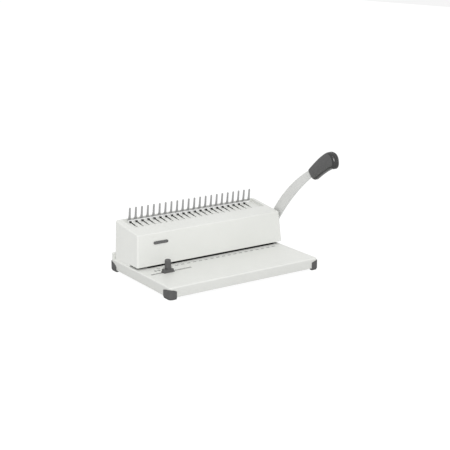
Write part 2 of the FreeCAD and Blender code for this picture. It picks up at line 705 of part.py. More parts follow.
def shaft_bushes():
    """Flanged bronze bushes for the drive shaft, one in each cheek."""
    for side, x_range in both_sides("frame_in", "frame_out"):
        body = new_body("shaft_bush_" + side)
        rods(body, "YZ", "shaft_dia + 4", [("shaft_y", "shaft_z")], x_range)
        flange = [pair for name, pair in both_sides("crank_out + 0.1", "frame_in") if name == side][0]
        rods(body, "YZ", "shaft_dia + 8", [("shaft_y", "shaft_z")], flange)
        whole = [pair for name, pair in both_sides("crank_out + 0.1", "frame_out") if name == side][0]
        bores(body, "YZ", "shaft_dia + 2 * run_gap", [("shaft_y", "shaft_z")], whole)


def drive_shaft():
    """The cross shaft: round in its bushes, with two flats where the lever fits."""
    body = new_body("drive_shaft", place=("0", "shaft_y", "shaft_z"))
    centre = [("0", "0")]
    left_end = "comb_centre - frame_out - 4"
    rods(body, "YZ", "shaft_dia", centre, (left_end, "lever_out"))
    flat = "shaft_dia / 2 - shaft_flat"
    for z_range in ((flat, "shaft_dia"), ("-shaft_dia", "-(%s)" % flat)):
        cut_block(body, ("lever_in", "lever_out"), ("-shaft_dia", "shaft_dia"), z_range)
    bores(body, "YZ", 5.0, centre, ("lever_out - 16", "lever_out"))
    groove_x = ("comb_centre - frame_out - 2", "comb_centre - frame_out - 0.9")
    ring = circles(body, "YZ", "shaft_dia + 4", centre, groove_x[0])
    pocket(body, circles_on(ring, "shaft_dia - 2", centre[0]), length_of(groove_x))
    cross_holes = circles(body, "XY", "roll_pin + 2 * fit_gap", roll_pin_centres())
    cross_holes.AttachmentOffset = Placement(Vector(), Rotation(Vector(1, 0, 0), 1))
    bind(cross_holes, "AttachmentOffset.Rotation.Angle", CRANK_REST)
    drilling = pocket(body, cross_holes, "2 * shaft_dia")
    drilling.Midplane = True
    dress(body, "Chamfer", "0.8", lambda middle, along: middle.x < number(left_end) + 0.1)


def circles_on(sketch, diameter, centre):
    """Add one more circle to a sketch, so that it bounds a ring."""
    middle = Vector(number(centre[0]), number(centre[1]), 0)
    index = sketch.addGeometry(Part.Circle(middle, Vector(0, 0, 1), number(diameter) / 2))
    fix_point(sketch, index, 3, centre)
    constraint = sketch.addConstraint(Sketcher.Constraint("Diameter", index, number(diameter)))
    bind(sketch, "Constraints[%d]" % constraint, diameter)
    return sketch


def roll_pin_centres():
    """Where the cranks are pinned to the shaft, in the middle of their hubs."""
    middle = "(hub_in + crank_in) / 2"
    return [("comb_centre - " + middle, "0"), ("comb_centre + " + middle, "0")]


def shaft_clip():
    """The circlip that keeps the shaft in its left bush."""
    body = new_body("shaft_clip")
    x_range = ("comb_centre - frame_out - 1.9", "comb_centre - frame_out - 1")
    rods(body, "YZ", "shaft_dia + 5", [("shaft_y", "shaft_z")], x_range)
    bores(body, "YZ", "shaft_dia - 1.9", [("shaft_y", "shaft_z")], x_range)
    cut_block(body, x_range, ("shaft_y - shaft_dia / 2 + 1.2", "shaft_y + shaft_dia / 2 - 1.2"),
              ("shaft_z - shaft_dia", "shaft_z"))


# The cranks are drawn with the long arm straight up and turned back by half the swing,
# so that each pin swings evenly to both sides of its slot's own direction.
CRANK_REST = "deck_tilt - lever_swing / 2"
SHORT_PIN = ("-punch_crank * cos(deck_tilt)", "punch_crank * sin(deck_tilt)")
LONG_PIN = ("0", "opener_crank")


def cranks():
    """Bell cranks: the short arm drives the punch bar, the long arm the comb opener."""
    for side, x_range in both_sides("crank_in", "crank_out"):
        body = new_body("crank_" + side, place=("0", "shaft_y", "shaft_z"), turn_x=CRANK_REST)
        rods(body, "YZ", 18.0, [("0", "0")], x_range)
        rods(body, "YZ", 10.0, [SHORT_PIN], x_range)
        rods(body, "YZ", 10.0, [LONG_PIN], x_range)
        long_arm = polygon(body, "YZ", [("-6.5", "0"), ("6.5", "0"), ("5", "opener_crank"),
                                        ("-5", "opener_crank")], x_range[0])
        pad(body, long_arm, length_of(x_range))
        tilt_in = "sin(deck_tilt)"
        short_arm = polygon(body, "YZ", [
            ("0", "-8"), ("0", "8"), (SHORT_PIN[0] + " + 5 * " + tilt_in, SHORT_PIN[1] + " + 5"),
            (SHORT_PIN[0] + " - 5 * " + tilt_in, SHORT_PIN[1] + " - 5")], x_range[0])
        pad(body, short_arm, length_of(x_range))
        hub = [pair for name, pair in both_sides("hub_in", "crank_in") if name == side][0]
        rods(body, "YZ", "shaft_dia + 4", [("0", "0")], hub)
        whole = [pair for name, pair in both_sides("hub_in", "crank_out") if name == side][0]
        bores(body, "YZ", "shaft_dia + 2 * fit_gap", [("0", "0")], whole)
        bores(body, "YZ", "pin_dia + 2 * fit_gap", [SHORT_PIN], x_range)
        bores(body, "YZ", "pin_dia + 2 * fit_gap", [LONG_PIN], x_range)
        middle = "(hub_in + crank_in) / 2"
        centre = "comb_centre %s %s" % ("-" if side == "left" else "+", middle)
        bores(body, "XY", "roll_pin + 2 * fit_gap", [(centre, "0")], ("-shaft_dia", "shaft_dia"))


def crank_pins():
    """The four pins of the cranks, which ride in the forks."""
    body = new_body("crank_pins", place=("0", "shaft_y", "shaft_z"), turn_x=CRANK_REST)
    for side, x_range in both_sides("hub_in + 0.2", "crank_out"):
        rods(body, "YZ", "pin_dia", [SHORT_PIN], x_range)
        rods(body, "YZ", "pin_dia", [LONG_PIN], x_range)


def roll_pins():
    """The pins that lock the cranks to the shaft."""
    body = new_body("roll_pins", place=("0", "shaft_y", "shaft_z"), turn_x=CRANK_REST)
    rods(body, "XY", "roll_pin", roll_pin_centres(), ("-shaft_dia / 2 - 1.8", "shaft_dia / 2 + 1.8"))


# ---------------------------------------------------------------- comb line
def finger_comb():
    """The fixed comb: a steel strip with a tall finger for every gap of the plastic comb."""
    body = new_body("finger_comb", **DECK)
    half = "comb_plate / 2"
    strip = rectangle(body, "XZ", ("-strip_end", "strip_end"), ("strip_low", "comb_edge"),
                      "-(%s)" % half)
    pad(body, strip, "comb_plate")
    foot = "(%s)" % FIRST_FINGER
    outline = polygon(body, "XZ", [
        (foot + " - 4.2", "comb_edge - 0.5"), (foot + " + 2.6", "comb_edge - 0.5"),
        (foot + " + 2.1", "comb_edge + 9"), (foot + " + 1.7", "finger_tall - 1.2"),
        (foot + " + 0.8", "finger_tall"), (foot + " - 0.8", "finger_tall"),
        (foot + " - 1.7", "finger_tall - 1.2"), (foot + " - 2.1", "comb_edge + 9"),
        (foot + " - 2.9", "comb_edge + 3")], "-(%s)" % half)
    finger = pad(body, outline, "comb_plate")
    repeat(body, [finger], "comb_pitch", "comb_fingers")
    bores(body, "XZ", 2.6, comb_screw_centres(), ("-" + half, half))


def comb_screw_centres():
    return [("comb_pitch * %s" % step, "comb_screw_row") for step in (-9.5, -3.5, 3.5, 9.5)]


def comb_beam():
    """The cross bar between the cheeks that the finger comb is screwed to."""
    body = new_body("comb_beam", **DECK)
    y_range = ("-comb_plate / 2 - beam_deep", "-comb_plate / 2")
    block(body, ("-frame_in", "frame_in"), y_range, ("beam_low", "beam_top"))
    bores(body, "XZ", 2.6, comb_screw_centres(), y_range)


def slide_rails():
    """Grooved rails parallel to the recess floor, with studs pressed into the cheeks."""
    for side, (low, high) in (("left", ("-frame_in", "-rail_in")), ("right", ("rail_in", "frame_in"))):
        body = new_body("slide_rail_" + side, **DECK)
        y_range = ("-76", "-4")
        block(body, (low, high), y_range, ("rail_low", "rail_top"))
        groove = ("-frame_in + 1.2", low + " + 6") if side == "left" else (high + " - 6", "frame_in - 1.2")
        cut_block(body, groove, y_range, ("slide_low - 0.06", "slide_top + 0.06"))
        stud = ("-frame_out", "-frame_in") if side == "left" else ("frame_in", "frame_out")
        rods(body, "YZ", "stud_dia - 2 * fit_gap", stud_centres(), stud)


def slide_plate():
    """The opener's slide, with an ear at each end that the long cranks' pins push."""
    body = new_body("slide_plate", **DECK)
    block(body, ("-frame_in + 1.6", "frame_in - 1.6"), ("%s - 2" % EAR_FRONT, "-3.8"),
          ("slide_low", "slide_top"))
    for step in ("-comb_pitch * 7", "0", "comb_pitch * 7"):
        window_x = ("%s - comb_pitch * 2.5" % step, "%s + comb_pitch * 2.5" % step)
        cut_block(body, window_x, ("%s + 4" % EAR_FRONT, "-18"), ("slide_low", "slide_top"))
    half = "(pin_dia / 2 + slot_play)"
    ear_low = "%s + opener_crank * cos(lever_swing / 2) - 6" % SHAFT_DOWN
    slot_top = "%s + opener_crank + %s" % (SHAFT_DOWN, half)
    for low, high in (("-fork_out", "-fork_in"), ("fork_in", "fork_out")):
        ear = polygon(body, "YZ", [
            (EAR_FRONT, "slide_low"), (EAR_FRONT, ear_low), ("%s - %s" % (PIN_REST, half), ear_low),
            ("%s - %s" % (PIN_REST, half), slot_top), ("%s + %s" % (PIN_REST, half), slot_top),
            ("%s + %s" % (PIN_REST, half), ear_low), (EAR_BACK, ear_low), (EAR_BACK, "slide_low")], low)
        pad(body, ear, "fork_out - fork_in")


PIN_REST = "(%s + opener_crank * sin(lever_swing / 2))" % SHAFT_BACK
EAR_FRONT = "(%s - 7)" % PIN_REST
EAR_BACK = "(%s + 7)" % PIN_REST


def hook_strip():
    """Twenty-one hooks on one strip, which pull the rings of the plastic comb open."""
    body = new_body("hook_strip", **DECK)
    block(body, ("-frame_in + 8", "frame_in - 8"), ("-15", "-3.8"), ("slide_top", "slide_top + 1.2"))
    finger = "(%s)" % FIRST_FINGER
    blade_x = (finger + " - 0.4", finger + " + 1.4")
    arm = block(body, blade_x, ("-22", "-4.4"), ("slide_top + 1.2", "0.8"))
    post = block(body, blade_x, ("-7.4", "-4.4"), ("0.8", "hook_tall"))
    tip = block(body, (finger + " - 3.4", finger + " - 0.4"), ("-7.4", "-4.4"),
                ("hook_tall - hook_sheet", "hook_tall"))
    repeat(body, [arm, post, tip], "comb_pitch", "comb_slots")


# ---------------------------------------------------------------- lever
# Offsets from the shaft's axis in the lever's own plane: (back, up), at rest.
LEVER_OUTLINE = [
    [(-150.0, 145.0)], [(-78.7, 84.5), (-16.5, 8.5)], [(-2.0, -16.0), (13.0, 7.0)],
    [(-52.0, 90.5), (-132.0, 150.5)], [(-156.0, 164.5)], [(-164.0, 152.5)],
]
GRIP_OUTLINE = [
    (-135.0, 154.5), (-153.2, 171.3), (-170.4, 185.6), (-187.3, 196.8), (-201.5, 202.0),
    (-214.5, 198.0), (-222.4, 186.0), (-219.8, 171.8), (-206.0, 165.6), (-190.5, 158.6),
    (-177.0, 150.0), (-165.0, 141.0), (-155.0, 135.0), (-146.0, 138.0), (-138.0, 145.0),
]
TANG_POCKET = [
    [(-132.0, 128.0)], [(-125.0, 150.0)], [(-156.0, 166.0)], [(-165.5, 152.0)], [(-151.0, 143.3)],
]
LEVER_PLACE = {"place": ("0", "shaft_y", "shaft_z")}
LEVER_X = ("lever_in", "lever_out")
GRIP_MIDDLE = "(lever_in + lever_out) / 2"
GRIP_BOLTS = [("-149", "149.5"), ("-156", "156.5")]


def lever_arm():
    """The curved flat bar, with a double-D eye on the shaft and a tang in the grip."""
    body = new_body("lever_arm", **LEVER_PLACE)
    pad(body, arcs(body, "YZ", LEVER_OUTLINE, "lever_in"), length_of(LEVER_X))
    eye = "(shaft_dia / 2 + fit_gap)"
    key = "(shaft_dia / 2 - shaft_flat + fit_gap)"
    flat = "sqrt(%s ^ 2 - %s ^ 2)" % (eye, key)
    double_d = [[(flat, "-" + key)], [(eye, "0"), (flat, key)],
                [("-" + flat, key)], [("-" + eye, "0"), ("-" + flat, "-" + key)]]
    pocket(body, arcs(body, "YZ", double_d, "lever_in"), length_of(LEVER_X))
    bores(body, "YZ", 4.2, GRIP_BOLTS, LEVER_X)


def grip_halves():
    """The moulded grip in two shells, pocketed for the lever's tang."""
    outer = {"inner": ("%s - grip_half" % GRIP_MIDDLE, GRIP_MIDDLE),
             "outer": (GRIP_MIDDLE, "%s + grip_half" % GRIP_MIDDLE)}
    for side, x_range in outer.items():
        body = new_body("grip_" + side, **LEVER_PLACE)
        pad(body, loop(body, "YZ", GRIP_OUTLINE, x_range[0]), length_of(x_range))
        shell_x = number(x_range[0]) if side == "inner" else number(x_range[1])
        dress(body, "Fillet", "2", lambda middle, along: abs(middle.x - shell_x) < 0.1)
        pocket(body, arcs(body, "YZ", TANG_POCKET, "lever_in"), length_of(LEVER_X))
        bores(body, "YZ", 4.2, GRIP_BOLTS, x_range)


def grip_screws():
    """Two countersunk screws through the grip and the tang."""
    head = "%s + grip_half" % GRIP_MIDDLE
    return screws("grip_screws", "YZ", GRIP_BOLTS, 4.0, 4.1,
                  ("%s - grip_half + 3" % GRIP_MIDDLE, head + " - 3"), (head + " - 3", head + " - 1"),
                  **LEVER_PLACE)


def lever_bolt():
    """The bolt in the end of the shaft that holds the lever on."""
    body = new_body("lever_bolt")
    centre = [("shaft_y", "shaft_z")]
    rods(body, "YZ", 4.9, centre, ("lever_out - 15", "lever_out + 1.5"))
    rods(body, "YZ", 9.0, centre, ("lever_out + 1.5", "lever_out + 5.5"))
    dress(body, "Fillet", "0.8", lambda middle, along: middle.x > number("lever_out + 5.4"))
    socket = circles(body, "YZ", 4.2, centre, "lever_out + 3")
    pocket(body, socket, "2.5")


def lever_washer():
    body = new_body("lever_washer")
    rods(body, "YZ", 17.0, [("shaft_y", "shaft_z")], ("lever_out", "lever_out + 1.5"))
    bores(body, "YZ", 5.0, [("shaft_y", "shaft_z")], ("lever_out", "lever_out + 1.5"))


# ---------------------------------------------------------------- edge guide
def guide_block():
    """The sliding paper-edge guide, with a tongue in the table's slot."""
    body = new_body("guide_block")
    z_range = ("base_top", "guide_block_top")
    block(body, ("guide_x - 8.5", "guide_x + 8.5"), ("guide_y - 6", "guide_y + 6"), z_range)
    for x_range in (("guide_x - 12", "guide_x - 8.5"), ("guide_x + 8.5", "guide_x + 12")):
        block(body, x_range, ("guide_y - 6", "guide_y + 6"), ("base_top", "base_top + 4"))
    tongue_y = ("guide_y - guide_slot / 2 + run_gap", "guide_y + guide_slot / 2 - run_gap")
    block(body, ("guide_x - 8", "guide_x + 8"), tongue_y, ("base_top - base_wall", "base_top"))
    dress(body, "Fillet", "1", lambda middle, along: middle.z > number("base_top + 3.9") and level(along)
          and abs(middle.y - number("guide_y")) > 5.5)
    bores(body, "XY", "3 + 2 * run_gap", [("guide_x", "guide_y")],
          ("base_top - base_wall", "guide_block_top"))


def guide_clamp():
    """The nut plate under the table that the knob's screw draws up."""
    body = new_body("guide_clamp")
    z_range = ("base_top - base_wall - 2.6", "base_top - base_wall - 0.1")
    block(body, ("guide_x - 9", "guide_x + 9"), ("guide_y - 6", "guide_y + 6"), z_range)
    bores(body, "XY", "3 + 2 * run_gap", [("guide_x", "guide_y")], z_range)


def guide_knob():
    """The knurled clamp knob."""
    body = new_body("guide_knob")
    z_range = ("guide_block_top + 0.1", "knob_top")
    rods(body, "XY", "knob_dia", [("guide_x", "guide_y")], z_range)
    dress(body, "Fillet", "1.4", lambda middle, along: middle.z > number("knob_top - 0.1"))
    bores(body, "XY", 3.0, [("guide_x", "guide_y")], (z_range[0], "guide_block_top + 9"))


def guide_screw():
    """The knob's threaded stud, fixed in the knob."""
    body = new_body("guide_screw")
    rods(body, "XY", 3.0, [("guide_x", "guide_y")], ("base_top - base_wall - 4", "guide_block_top + 9"))


# ---------------------------------------------------------------- chip drawer
def chip_drawer():
    """The tray under the die that catches the punched chips and pulls out at the back."""
    body = new_body("chip_drawer")
    x_range = ("comb_centre - drawer_half", "comb_centre + drawer_half")
    y_range = ("drawer_front", "base_back - 0.4")
    block(body, x_range, y_range, ("drawer_low", "drawer_top"))
    inner_x = ("comb_centre - drawer_half + drawer_wall", "comb_centre + drawer_half - drawer_wall")
    inner_y = ("drawer_front + drawer_wall", "base_back - 0.4 - 2 * drawer_wall")
    cut_block(body, inner_x, inner_y, ("drawer_low + drawer_wall", "drawer_top"))
    cut_block(body, ("comb_centre - 24", "comb_centre + 24"), ("base_back - 2.2", "base_back"),
              ("drawer_low", "drawer_low + 6"))


# ---------------------------------------------------------------- springs and fasteners
def return_springs():
    """Springs of square wire on the posts that lift the punch bar again."""
    wire = number("spring_wire")
    mean = number("spring_mean")
    turns = number("spring_turns")
    low = number("stripper_top") + 0.1 + wire / 2
    rise = number("bar_low + spring_seat") - 0.1 - wire / 2 - low
    slope = math.atan2(rise / turns, 2 * math.pi * mean)
    across = Vector(wire / 2, 0, 0)
    along = Vector(0, -math.sin(slope), math.cos(slope)) * (wire / 2)
    start = Vector(mean, 0, 0)
    corners = [start + across * a + along * b for a, b in ((-1, -1), (1, -1), (1, 1), (-1, 1), (-1, -1))]
    section = Part.makePolygon(corners)
    coils = []
    for x, y in post_centres():
        coil = Part.Wire(Part.makeHelix(rise / turns, rise, mean)).makePipeShell([section], True, True)
        coil.translate(Vector(number(x), number(y), low))
        coils.append(coil)
    springs = doc.addObject("Part::Feature", "return_springs")
    springs.Label = "return_springs"
    springs.Shape = Part.makeCompound(coils)
    springs.Placement = Placement()
    subparts.append(springs)


def fasteners():
    """Every group of identical screws and rivets."""
    screws("die_screws", "XY", die_screw_centres(), 2.9, 5.5,
           ("die_low - base_wall + 0.2", "stripper_top"), ("stripper_top", "stripper_top + 2.2"))
    screws("cover_screws", "XY", cover_screw_centres(), 2.5, 6.0,
           ("base_top - base_wall", "base_top + 14"), ("base_top - base_wall - 2", "base_top - base_wall"))
    screws("frame_screws", "XY", frame_screw_centres(), 3.9, 7.5,
           ("base_top - base_wall - 2.4", "base_top + 3"), ("base_top + 3", "base_top + 5.6"))
    screws("plate_screws", "XY", plate_screw_centres(), 2.5, 5.5,
           ("base_low", "base_low + 10"), ("base_low - 1.6", "base_low"))
    screws("retainer_screws", "XY", retainer_screw_centres(), 2.5, 5.0,
           ("bar_top", "bar_top + 3"), ("bar_top + 3", "bar_top + 4.8"))
    screws("fork_screws", "XZ", fork_screw_centres(), 2.4, 4.6,
           ("bar_front - 2", "bar_front + 6.5"), ("bar_front - 3.8", "bar_front - 2"))
    screws("comb_screws", "XZ", comb_screw_centres(), 2.5, 4.0,
           ("-comb_plate / 2 - beam_deep", "comb_plate / 2"),
           ("-comb_plate / 2 - beam_deep - 1.4", "-comb_plate / 2 - beam_deep"), **DECK)


if __name__ == "__main__":
    base_tray()
    bottom_plate()
    feet()
    main_cover()
    rear_skirt()
    front_badge()
    die_plate()
    back_stop()
    stripper_plate()
    guide_posts()
    punch_bar()
    punch_pins()
    pin_retainer()
    punch_forks()
    side_frames()
    shaft_bushes()
    drive_shaft()
    shaft_clip()
    cranks()
    crank_pins()
    roll_pins()
    finger_comb()
    comb_beam()
    slide_rails()
    slide_plate()
    hook_strip()
    lever_arm()
    grip_halves()
    grip_screws()
    lever_bolt()
    lever_washer()
    guide_block()
    guide_clamp()
    guide_knob()
    guide_screw()
    chip_drawer()
    return_springs()
    fasteners()
    doc.recompute()
    problems = []
    for item in doc.Objects:
        if "Invalid" in item.State or "Error" in item.State:
            owners = ", ".join(owner.Label for owner in item.InList)
            problems.append("%s of %s: %s" % (item.Name, owners, item.State))
    for part in subparts:
        if part.Shape.isNull() or not part.Shape.isValid() or not part.Shape.Solids:
            problems.append(part.Label + " has no valid shape")
    if problems:
        raise RuntimeError("; ".join(problems))
    os.makedirs("parts", exist_ok=True)
    for part in subparts:
        part.Shape.exportStep("parts/%s.step" % part.Label)
        box = part.Shape.optimalBoundingBox()
        print("%-20s %2d solids  %s" % (part.Label, len(part.Shape.Solids), box))
    print(len(subparts), "sub-parts")
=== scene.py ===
import json
import math

import bmesh
import bpy
from mathutils import Matrix, Vector

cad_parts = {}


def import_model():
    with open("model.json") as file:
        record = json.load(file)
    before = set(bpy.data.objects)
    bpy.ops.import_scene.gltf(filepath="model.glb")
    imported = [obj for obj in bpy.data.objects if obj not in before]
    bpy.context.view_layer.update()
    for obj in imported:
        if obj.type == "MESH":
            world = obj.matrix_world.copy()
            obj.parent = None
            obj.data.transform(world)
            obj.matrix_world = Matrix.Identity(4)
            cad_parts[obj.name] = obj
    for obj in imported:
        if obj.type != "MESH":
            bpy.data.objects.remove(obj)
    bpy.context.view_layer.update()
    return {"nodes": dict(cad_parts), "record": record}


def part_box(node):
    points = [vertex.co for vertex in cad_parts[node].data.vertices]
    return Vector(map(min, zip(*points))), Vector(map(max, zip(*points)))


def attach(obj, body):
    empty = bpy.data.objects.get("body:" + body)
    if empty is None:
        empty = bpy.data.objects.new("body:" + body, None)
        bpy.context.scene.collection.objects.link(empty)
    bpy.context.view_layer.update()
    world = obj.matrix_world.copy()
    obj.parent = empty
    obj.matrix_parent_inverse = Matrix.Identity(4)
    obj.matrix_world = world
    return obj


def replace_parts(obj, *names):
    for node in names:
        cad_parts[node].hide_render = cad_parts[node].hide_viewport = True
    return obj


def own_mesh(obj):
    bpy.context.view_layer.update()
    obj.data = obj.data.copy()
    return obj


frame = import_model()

MM = 0.001
COMB_PITCH = 14.2875 * MM
SLOTS_EACH_SIDE = 10
FINGER_RISE = 26.2 * MM  # the fingers' height above the comb's strip
INK_THICK = 0.05 * MM
FLOOR_REACH = 6


# ---------------------------------------------------------------- node materials
class Nodes:
    """A short way to build one material's node tree."""

    def __init__(self, name):
        self.material = bpy.data.materials.new(name)
        self.material.use_nodes = True
        self.tree = self.material.node_tree
        self.shader = self.tree.nodes["Principled BSDF"]
        self.place = self.add("ShaderNodeTexCoord").outputs["Object"]

    def add(self, kind, **settings):
        node = self.tree.nodes.new(kind)
        for key, value in settings.items():
            setattr(node, key, value)
        return node

    def feed(self, target, value):
        if hasattr(value, "is_output"):
            self.tree.links.new(value, target)
        else:
            target.default_value = value

    def noise(self, scale, detail=4.0, rough=0.55, stretch=(1, 1, 1)):
        mapping = self.add("ShaderNodeMapping")
        mapping.inputs["Scale"].default_value = stretch
        self.feed(mapping.inputs["Vector"], self.place)
        node = self.add("ShaderNodeTexNoise")
        self.feed(node.inputs["Vector"], mapping.outputs["Vector"])
        node.inputs["Scale"].default_value = scale
        node.inputs["Detail"].default_value = detail
        node.inputs["Roughness"].default_value = rough
        return node.outputs["Fac"]

    def ramp(self, fac, low, high):
        node = self.add("ShaderNodeMapRange")
        self.feed(node.inputs["Value"], fac)
        node.inputs["From Min"].default_value = 0.3
        node.inputs["From Max"].default_value = 0.7
        node.inputs["To Min"].default_value = low
        node.inputs["To Max"].default_value = high
        return node.outputs["Result"]

    def mix(self, fac, first, second):
        node = self.add("ShaderNodeMix", data_type="RGBA")
        self.feed(node.inputs["Factor"], fac)
        self.feed(node.inputs["A"], first)
        self.feed(node.inputs["B"], second)
        return node.outputs["Result"]

    def edge_wear(self, radius):
        """1 on convex edges, 0 on flats, from the bevelled normal."""
        bevel = self.add("ShaderNodeBevel", samples=4)
        bevel.inputs["Radius"].default_value = radius
        geometry = self.add("ShaderNodeNewGeometry")
        dot = self.add("ShaderNodeVectorMath", operation="DOT_PRODUCT")
        self.feed(dot.inputs[0], bevel.outputs["Normal"])
        self.feed(dot.inputs[1], geometry.outputs["Normal"])
        node = self.add("ShaderNodeMapRange")
        self.feed(node.inputs["Value"], dot.outputs["Value"])
        node.inputs["From Min"].default_value = 0.99
        node.inputs["From Max"].default_value = 0.75
        return node.outputs["Result"]

    def bump(self, height, strength, distance, soft_edge=0.0):
        node = self.add("ShaderNodeBump")
        node.inputs["Strength"].default_value = strength
        node.inputs["Distance"].default_value = distance
        self.feed(node.inputs["Height"], height)
        if soft_edge:
            bevel = self.add("ShaderNodeBevel", samples=4)
            bevel.inputs["Radius"].default_value = soft_edge
            self.feed(node.inputs["Normal"], bevel.outputs["Normal"])
        self.feed(self.shader.inputs["Normal"], node.outputs["Normal"])

    def set(self, **inputs):
        for key, value in inputs.items():
            self.feed(self.shader.inputs[key.replace("_", " ")], value)
        return self.material


def grey(value, warm=0.0):
    return (value * (1 + warm), value, value * (1 - 1.6 * warm), 1)


def shade(colour, factor):
    return tuple(c * factor for c in colour[:3]) + (1,)


def moulded(name, colour, rough=0.42, grain=0.10, gloss=0.5, sides=1.0):
    """Injection-moulded plastic: spark-eroded grain, faint clouding, edges rubbed lighter.

    sides paints shade on the upright walls, darkening them against the level faces."""
    n = Nodes(name)
    cloud = n.ramp(n.noise(9.0, 3.0), 0.0, 1.0)
    base = n.mix(cloud, shade(colour, 0.975), shade(colour, 1.015))
    wear = n.edge_wear(0.9 * MM)
    tint = n.mix(wear, base, shade(colour, 1.06))
    # Painted shade: upright walls darker than level faces, by the sides share.
    if sides != 1.0:
        axes = n.add("ShaderNodeSeparateXYZ")
        n.feed(axes.inputs["Vector"], n.add("ShaderNodeNewGeometry").outputs["Normal"])
        upward = n.add("ShaderNodeMapRange")
        n.feed(upward.inputs["Value"], axes.outputs["Z"])
        upward.inputs["From Min"].default_value = 0.1
        upward.inputs["From Max"].default_value = 0.9
        tint = n.mix(upward.outputs["Result"], n.mix(sides, grey(0.0), tint), tint)
    fine = n.noise(2600.0, 2.0, 0.7)
    n.bump(fine, grain, 0.06 * MM, 0.45 * MM)
    n.feed(n.shader.inputs["Roughness"], n.ramp(n.noise(140.0, 5.0), rough - 0.05, rough + 0.06))
    return n.set(Base_Color=tint, Specular_IOR_Level=gloss)


def rubbery(name, colour):
    """Rubber-like moulding: matt, speckled, with greyed edges."""
    n = Nodes(name)
    speck = n.ramp(n.noise(900.0, 3.0, 0.7), 0.0, 1.0)
    base = n.mix(speck, shade(colour, 0.85), shade(colour, 1.18))
    tint = n.mix(n.edge_wear(0.8 * MM), base, shade(colour, 1.7))
    n.bump(n.noise(1500.0, 3.0, 0.7), 0.25, 0.08 * MM, 0.5 * MM)
    n.feed(n.shader.inputs["Roughness"], n.ramp(n.noise(60.0), 0.55, 0.72))
    return n.set(Base_Color=tint, Specular_IOR_Level=0.35)


def metal(name, colour, rough=0.32, stretch=(1, 1, 40), scale=260.0, grit=0.12):
    """Sheet or bar metal with directional brushing and small colour variation."""
    n = Nodes(name)
    lines = n.noise(scale, 5.0, 0.6, stretch)
    patch = n.ramp(n.noise(35.0, 4.0), 0.0, 1.0)
    base = n.mix(patch, shade(colour, 0.88), shade(colour, 1.08))
    tint = n.mix(n.edge_wear(0.35 * MM), base, shade(colour, 1.35))
    n.bump(lines, grit, 0.04 * MM, 0.2 * MM)
    n.feed(n.shader.inputs["Roughness"], n.ramp(lines, rough - 0.08, rough + 0.12))
    return n.set(Base_Color=tint, Metallic=0.92)


def comb_plate_painted_light(name, strip_top):
    """Satin plate on the comb: the strip painted bright, a band of painted shade at its top edge, and
    the fingers painted darker, with brushing lines.
    """
    n = Nodes(name)
    axes = n.add("ShaderNodeSeparateXYZ")
    n.feed(axes.inputs["Vector"], n.place)
    height = n.add("ShaderNodeMapRange")
    n.feed(height.inputs["Value"], axes.outputs["Z"])
    height.inputs["From Min"].default_value = strip_top - 3 * MM
    height.inputs["From Max"].default_value = strip_top + 6 * MM
    # Colour by height is painted light: bright strip, painted shade band at its top, darker fingers.
    painted_light_bands = n.add("ShaderNodeValToRGB")
    n.feed(painted_light_bands.inputs["Fac"], height.outputs["Result"])
    ramp = painted_light_bands.color_ramp
    ramp.elements[0].position = 0.20
    ramp.elements[0].color = grey(0.92)
    ramp.elements[1].position = 1.0
    ramp.elements[1].color = grey(0.34)
    ramp.elements.new(0.27).color = grey(0.34)
    ramp.elements.new(0.50).color = grey(0.24)
    lines = n.noise(260.0, 5.0, 0.6, (1, 1, 12))
    dull = n.mix(n.ramp(lines, 0.0, 1.0), painted_light_bands.outputs["Color"], grey(0.35))
    tint = n.mix(0.2, painted_light_bands.outputs["Color"], dull)
    n.bump(lines, 0.1, 0.04 * MM, 0.2 * MM)
    n.feed(n.shader.inputs["Roughness"], n.ramp(lines, 0.36, 0.52))
    return n.set(Base_Color=tint, Metallic=0.1)


def painted(name, colour):
    """Powder coat on steel: slight orange peel and rubbed edges."""
    n = Nodes(name)
    peel = n.noise(420.0, 2.0, 0.5)
    cloud = n.ramp(n.noise(22.0, 3.0), 0.0, 1.0)
    base = n.mix(cloud, shade(colour, 0.96), shade(colour, 1.03))
    tint = n.mix(n.edge_wear(0.6 * MM), base, shade(colour, 1.1))
    n.bump(peel, 0.16, 0.12 * MM, 0.5 * MM)
    n.feed(n.shader.inputs["Roughness"], n.ramp(n.noise(90.0), 0.33, 0.44))
    n.feed(n.shader.inputs["Coat Weight"], 0.25)
    n.feed(n.shader.inputs["Coat Roughness"], 0.2)
    return n.set(Base_Color=tint)


def printed(name, colour):
    """Screen-printed ink, slightly uneven."""
    n = Nodes(name)
    thin = n.ramp(n.noise(1200.0, 3.0, 0.7), 0.0, 1.0)
    tint = n.mix(thin, colour, shade(colour, 1.25))
    n.bump(n.noise(2000.0), 0.1, 0.02 * MM)
    return n.set(Base_Color=tint, Roughness=0.5)


